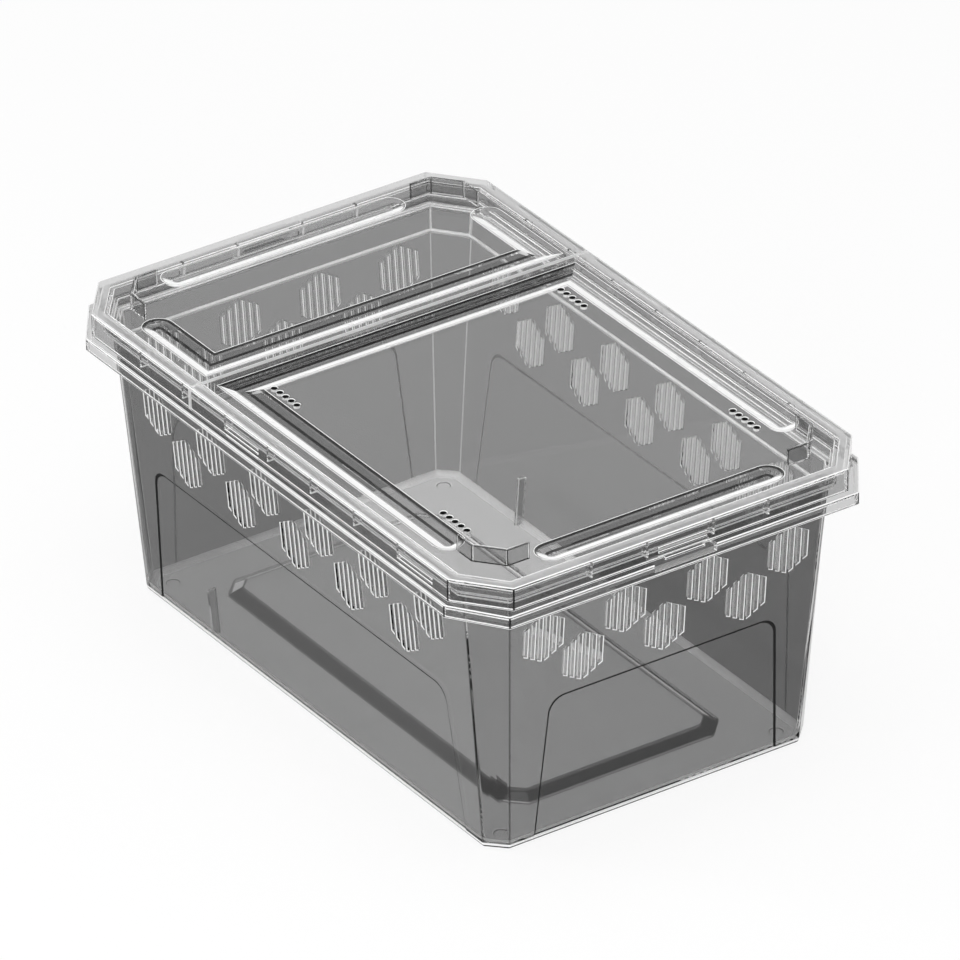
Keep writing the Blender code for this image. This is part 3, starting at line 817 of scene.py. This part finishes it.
def make_cover(name, end, edge_x, groove_split_setback, gusset_xs, grip_xs):
    """One cover, from the split at edge_x to the box's end, which is 1 in front and -1 behind."""
    # The top's edge band wears a painted white sheen, its outer edge the painted outline and its cut corners
    # a painted dark line.
    bm = ring_body([
        stop(moved_in(cover, inner_wall_setback), cover_top, SHEEN_BAND),
        stop(cover, cover_top, CLEAR, OUTLINE, turn=CORNER),
        stop(cover, skirt_bottom, CLEAR),
        stop(moved_in(cover, skirt_thickness), skirt_bottom, CLEAR),
        stop(moved_in(cover, skirt_thickness), top_underside, CLEAR),
        stop(moved_in(cover, inner_wall_setback), top_underside, CLEAR),
        stop(moved_in(cover, inner_wall_setback), inner_wall_bottom, CLEAR),
        stop(moved_in(cover, inner_wall_inside), inner_wall_bottom, CLEAR),
        stop(moved_in(cover, inner_wall_inside), top_underside, DECK),
        stop(moved_in(cover, inner_wall_inside + top_flat), top_underside, DECK),
    ], edge_radius)
    cut = bmesh.ops.bisect_plane(bm, geom=bm.verts[:] + bm.edges[:] + bm.faces[:], dist=cut_tolerance,
                                 plane_co=(edge_x, 0, 0), plane_no=(-end, 0, 0), clear_outer=True)
    open_edges = [e for e in cut["geom_cut"] if isinstance(e, bmesh.types.BMEdge)]
    # The split faces are painted white, as a painted highlight.
    for face in bmesh.ops.holes_fill(bm, edges=open_edges)["faces"]:
        face.material_index = EDGE
    bmesh.ops.recalc_face_normals(bm, faces=bm.faces[:])
    piece = as_object(name, bm)
    for skin in cover_skins:
        piece.data.materials.append(skin)

    rib = bmesh.new()
    rib_half = cover[1] - split_rib_margin
    rib_x = edge_x + end * small_radius
    points = oblong(*sorted((rib_x, rib_x + end * split_rib_thickness)), -rib_half, rib_half)
    add_body(rib, [level(points, inner_wall_bottom), level(points, top_underside + sunk)], CLEAR,
             bevel=small_radius)
    shape_with(piece, rib, "UNION")

    tip_x = end * (cover[0] - groove_tip_setback - groove_width / 2)
    cross_x = edge_x + end * groove_split_setback
    leg_y = cover[1] - groove_leg_setback
    press_groove(piece, [(tip_x, -leg_y), (cross_x, -leg_y), (cross_x, leg_y), (tip_x, leg_y)])
    end_x = end * (cover[0] - end_groove_setback)
    end_y = cover[1] - groove_tip_setback - groove_width / 2
    press_groove(piece, [(end_x, -end_y), (end_x, end_y)])
    # Grooves past the far side and the rear end of the mouth lie over the rim, and there get a paler painted
    # shading
    for face in piece.data.polygons:
        beyond_mouth = face.center.y > leg_y - groove_width or face.center.x < groove_width - mouth[0]
        if beyond_mouth and face.material_index in (SLOPE, ROLLED):
            face.material_index = OVER_RIM

    plates = bmesh.new()
    half = gusset_thickness / 2
    insets = (skirt_thickness - sunk, inner_wall_setback + sunk)
    for side in (-1, 1):
        ys = sorted(side * (cover[1] - inset) for inset in insets)
        spots = [oblong(x - half, x + half, *ys) for x in gusset_xs]
        xs = sorted(end * (cover[0] - inset) for inset in insets)
        for y in end_gusset_ys:
            spots.append(oblong(*xs, side * y - half, side * y + half))
        for points in spots:
            add_body(plates, [level(points, gusset_bottom), level(points, top_underside + sunk)], PLAIN,
                     bevel=gusset_radius)
    shape_with(piece, plates, "UNION")

    grips = bmesh.new()
    patches = [oblong(*sorted((end * (cover[0] - sunk), end * (cover[0] + grip_proud))),
                      -grip_half, grip_half)]
    for side in (-1, 1):
        ys = sorted((side * (cover[1] - sunk), side * (cover[1] + grip_proud)))
        patches += [oblong(x - grip_half, x + grip_half, *ys) for x in grip_xs]
    for points in patches:
        for top in grip_heights:
            add_body(grips, [level(points, top - grip_thickness), level(points, top)], CLEAR,
                     bevel=small_radius)
    shape_with(piece, grips, "UNION")
    tab = bmesh.new()
    xs = sorted((end * (cover[0] - sunk), end * (cover[0] + tab_reach)))
    points = oblong(*xs, -tab_half_width, tab_half_width)
    tab_bottom = skirt_bottom + tab_lift
    add_body(tab, [level(points, tab_bottom), level(points, tab_bottom + tab_thickness)], CLEAR,
             bevel=small_radius)
    shape_with(piece, tab, "UNION")

    fence_x, fence_y = foot[0] + fence_gap, foot[1] + fence_gap
    fences = bmesh.new()
    for side in (-1, 1):
        path = [
            (end * (fence_x - fence_cut[0] - fence_arm), side * fence_y),
            (end * (fence_x - fence_cut[0]), side * fence_y),
            (end * fence_x, side * (fence_y - fence_cut[1])),
            (end * fence_x, side * (fence_y - fence_cut[1] - fence_arm)),
        ]
        points = stroke(path, fence_thickness / 2, round_ends=False)
        # The fences' rounded edges are painted as dark lines.
        add_body(fences, [level(points, cover_top - sunk), level(points, cover_top + fence_height)], CLEAR,
                 bevel=small_radius, edge=CORNER)
    shape_with(piece, fences, "UNION")
    return piece


front_groove_setback = 0.0132
front_gusset_inset = 0.0262
front_gussets = 5
grip_split_setback = 0.0417
grip_end_setback = 0.0460
front_cover = make_cover(
    "front_cover", 1, front_low.x, front_groove_setback,
    [front_low.x + front_gusset_inset + gusset_pitch * i for i in range(front_gussets)],
    [front_low.x + grip_split_setback, cover[0] - grip_end_setback],
)
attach(front_cover, "front_lid")
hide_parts("front_lid")
rear_groove_setback = 0.0106
rear_gusset_inset = 0.0066
rear_gussets = 2
rear_cover = make_cover(
    "rear_cover", -1, rear_high.x, rear_groove_setback,
    [rear_high.x - rear_gusset_inset - gusset_pitch * i for i in range(rear_gussets)], [],
)
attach(rear_cover, "rear_lid")
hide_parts("rear_lid")


# Air holes
# Four rows of five small round holes go through the large cover's top, near the corners of the
# groove, pierced when the cover is moulded. Each bore is painted dark and its rounded rim white.
hole_radius = 0.0015
hole_pitch = 0.0044
holes_in_row = 5
hole_sides = 24
hole_side_setback = 0.0294
hole_split_setback = 0.0306
hole_end_setback = 0.0600
hole_row_y = cover[1] - hole_side_setback
hole_row_xs = (front_low.x + hole_split_setback, cover[0] - hole_end_setback)
holes = bmesh.new()
for side in (-1, 1):
    for middle in hole_row_xs:
        for index in range(holes_in_row):
            x = middle + (index - (holes_in_row - 1) / 2) * hole_pitch
            add_body(holes, [turned(x, side * hole_row_y, radius, z, hole_sides) for z, radius in (
                (top_underside - overrun, hole_radius), (cover_top - small_radius, hole_radius),
                (cover_top, hole_radius + small_radius), (cover_top + overrun, hole_radius + small_radius),
            )], lambda row, side: EDGE if row == 1 else CORNER, ends=CORNER)
shape_with(front_cover, holes, "DIFFERENCE")


# Table
# A plain white table top. It shows as white behind and through the box, and keeps a little of the
# box's shadow.
table_size = 3.0
table_drop = 0.0002
table_white = 0.95
table_roughness = 0.9
shadow_share = 0.15


def seen_share(tree, share):
    """A number that is the given share for light on its way to the eye, and nothing otherwise."""
    path = tree.nodes.new("ShaderNodeLightPath")
    seen = path.outputs["Is Camera Ray"]
    for way in ("Is Transmission Ray", "Is Glossy Ray"):
        either = tree.nodes.new("ShaderNodeMath")
        either.operation = "MAXIMUM"
        tree.links.new(seen, either.inputs[0])
        tree.links.new(path.outputs[way], either.inputs[1])
        seen = either.outputs[0]
    scaled = tree.nodes.new("ShaderNodeMath")
    scaled.operation = "MULTIPLY"
    scaled.inputs[1].default_value = share
    tree.links.new(seen, scaled.inputs[0])
    return scaled.outputs[0]


table_mesh = bpy.data.meshes.new("table")
table_mesh.from_pydata(
    [(x * table_size, y * table_size, -table_drop) for x, y in ((-1, -1), (1, -1), (1, 1), (-1, 1))],
    [], [(0, 1, 2, 3)])
table = bpy.data.objects.new("table", table_mesh)
scene.collection.objects.link(table)
table_material = bpy.data.materials.new("white_table")
table_material.use_nodes = True
tree = table_material.node_tree
lit = tree.nodes["Principled BSDF"]
lit.inputs["Base Color"].default_value = (table_white, table_white, table_white, 1)
lit.inputs["Roughness"].default_value = table_roughness
glow = tree.nodes.new("ShaderNodeEmission")
mix = tree.nodes.new("ShaderNodeMixShader")
tree.links.new(seen_share(tree, 1 - shadow_share), mix.inputs[0])
tree.links.new(lit.outputs[0], mix.inputs[1])
tree.links.new(glow.outputs[0], mix.inputs[2])
tree.links.new(mix.outputs[0], tree.nodes["Material Output"].inputs["Surface"])
table_mesh.materials.append(table_material)
table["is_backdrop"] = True


# Studio light
# A white room that lights the box softly, and three large soft lamps above and beside it.
room_grey = 0.5
world = bpy.data.worlds.new("studio")
scene.world = world
world.use_nodes = True
tree = world.node_tree
tree.nodes["Background"].inputs["Color"].default_value = (room_grey, room_grey, room_grey, 1)
white = tree.nodes.new("ShaderNodeBackground")
mix = tree.nodes.new("ShaderNodeMixShader")
tree.links.new(seen_share(tree, 1.0), mix.inputs[0])
tree.links.new(tree.nodes["Background"].outputs[0], mix.inputs[1])
tree.links.new(white.outputs[0], mix.inputs[2])
tree.links.new(mix.outputs[0], tree.nodes["World Output"].inputs["Surface"])

lamp_aim = Vector((0, 0, 0.06))
for name, place, size, power in (
    ("top_softbox", (0.2, -0.2, 1.6), 1.2, 12),
    ("side_strip", (1.6, -1.2, 0.9), 0.5, 12),
    ("left_strip", (-1.4, -1.4, 1.0), 0.5, 8),
):
    lamp = bpy.data.lights.new(name, "AREA")
    lamp.size = size
    lamp.energy = power
    lamp_object = bpy.data.objects.new(name, lamp)
    scene.collection.objects.link(lamp_object)
    lamp_object.location = place
    lamp_object.visible_glossy = False
    lamp_object.rotation_mode = "QUATERNION"
    lamp_object.rotation_quaternion = (lamp_aim - Vector(place)).to_track_quat("-Z", "Y")

scene.view_settings.view_transform = "Standard"
scene.cycles.max_bounces = 48
scene.cycles.transmission_bounces = 48
scene.cycles.glossy_bounces = 16
scene.cycles.transparent_max_bounces = 64
scene.cycles.use_denoising = True

low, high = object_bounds()
